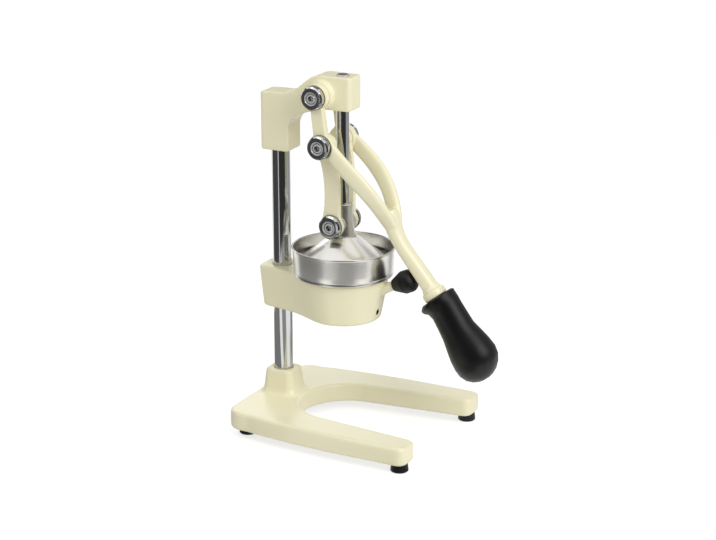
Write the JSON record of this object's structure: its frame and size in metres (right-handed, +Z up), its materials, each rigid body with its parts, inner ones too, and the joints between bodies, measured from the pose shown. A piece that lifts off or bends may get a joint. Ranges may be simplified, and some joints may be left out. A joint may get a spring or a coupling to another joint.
{
  "type": "lever citrus press",
  "caption": "Lever citrus press on a U-shaped foot: forked lever, curved links and a plated ram press a bell into a spun steel bowl.",
  "frame": {"origin": "middle of the whole press on the floor, under its bounding box", "axes": "+X forwards from the column to the grip, +Y to the press's left, +Z up along the ram"},
  "size_m": [0.2745, 0.184, 0.382],
  "materials": {
    "cream_enamel": "gloss powder coat, cream",
    "chrome_plate": "polished plate",
    "stainless_sheet": "spun and polished stainless sheet",
    "moulded_grip": "satin black moulding",
    "black_rubber": "matt black rubber",
    "black_washer": "black nylon",
    "zinc_screws": "zinc plated",
    "black_screw": "black oxide"
  },
  "bodies": {
    "frame": {"base": "cream_enamel", "foot_front_right": "black_rubber", "foot_front_left": "black_rubber", "foot_rear_right": "black_rubber", "foot_rear_left": "black_rubber", "foot_screws": "zinc_screws", "column": "chrome_plate", "column_bolt": "zinc_screws", "column_washer": "zinc_screws", "bowl_holder": "cream_enamel", "holder_set_screws": "zinc_screws", "bowl_set_screw": "black_screw", "bumper": "black_rubber", "bumper_stud": "zinc_screws", "funnel_bowl": "stainless_sheet", "strainer": "stainless_sheet", "head": "cream_enamel", "head_set_screws": "zinc_screws", "crank_bolt_right": "chrome_plate", "crank_bolt_left": "chrome_plate", "crank_washers": "black_washer"},
    "ram": {"ram_rod": "chrome_plate", "press_hub": "chrome_plate", "press_cone": "stainless_sheet", "cone_screw": "zinc_screws", "hub_bolt_right": "chrome_plate", "hub_bolt_left": "chrome_plate", "hub_washers": "black_washer"},
    "lever": {"lever": "cream_enamel", "grip": "moulded_grip", "grip_stud": "zinc_screws", "knee_bolt_right": "chrome_plate", "knee_bolt_left": "chrome_plate", "knee_washers": "black_washer"},
    "links": {"link_right": "cream_enamel", "link_left": "cream_enamel"}
  },
  "joints": [
    {"name": "lever_hinge", "type": "hinge", "parent": "frame", "child": "lever", "pos_m": [-0.05645, 0, 0.3613], "axis": [0, -1, 0], "range_deg": [0, 110]},
    {"name": "ram_slide", "type": "slide", "parent": "frame", "child": "ram", "axis": [0, 0, 1], "range_m": [0, 0.08]},
    {"name": "link_hinge", "type": "hinge", "parent": "ram", "child": "links", "pos_m": [-0.04225, 0, 0.22567], "axis": [0, 1, 0], "range_deg": [0, 27]}
  ],
  "couplings": [
    {"joint": "link_hinge", "follows": "lever_hinge", "ratio": 0.2398},
    {"joint": "ram_slide", "follows": "lever_hinge", "m_per_rad": 0.04147}
  ]
}
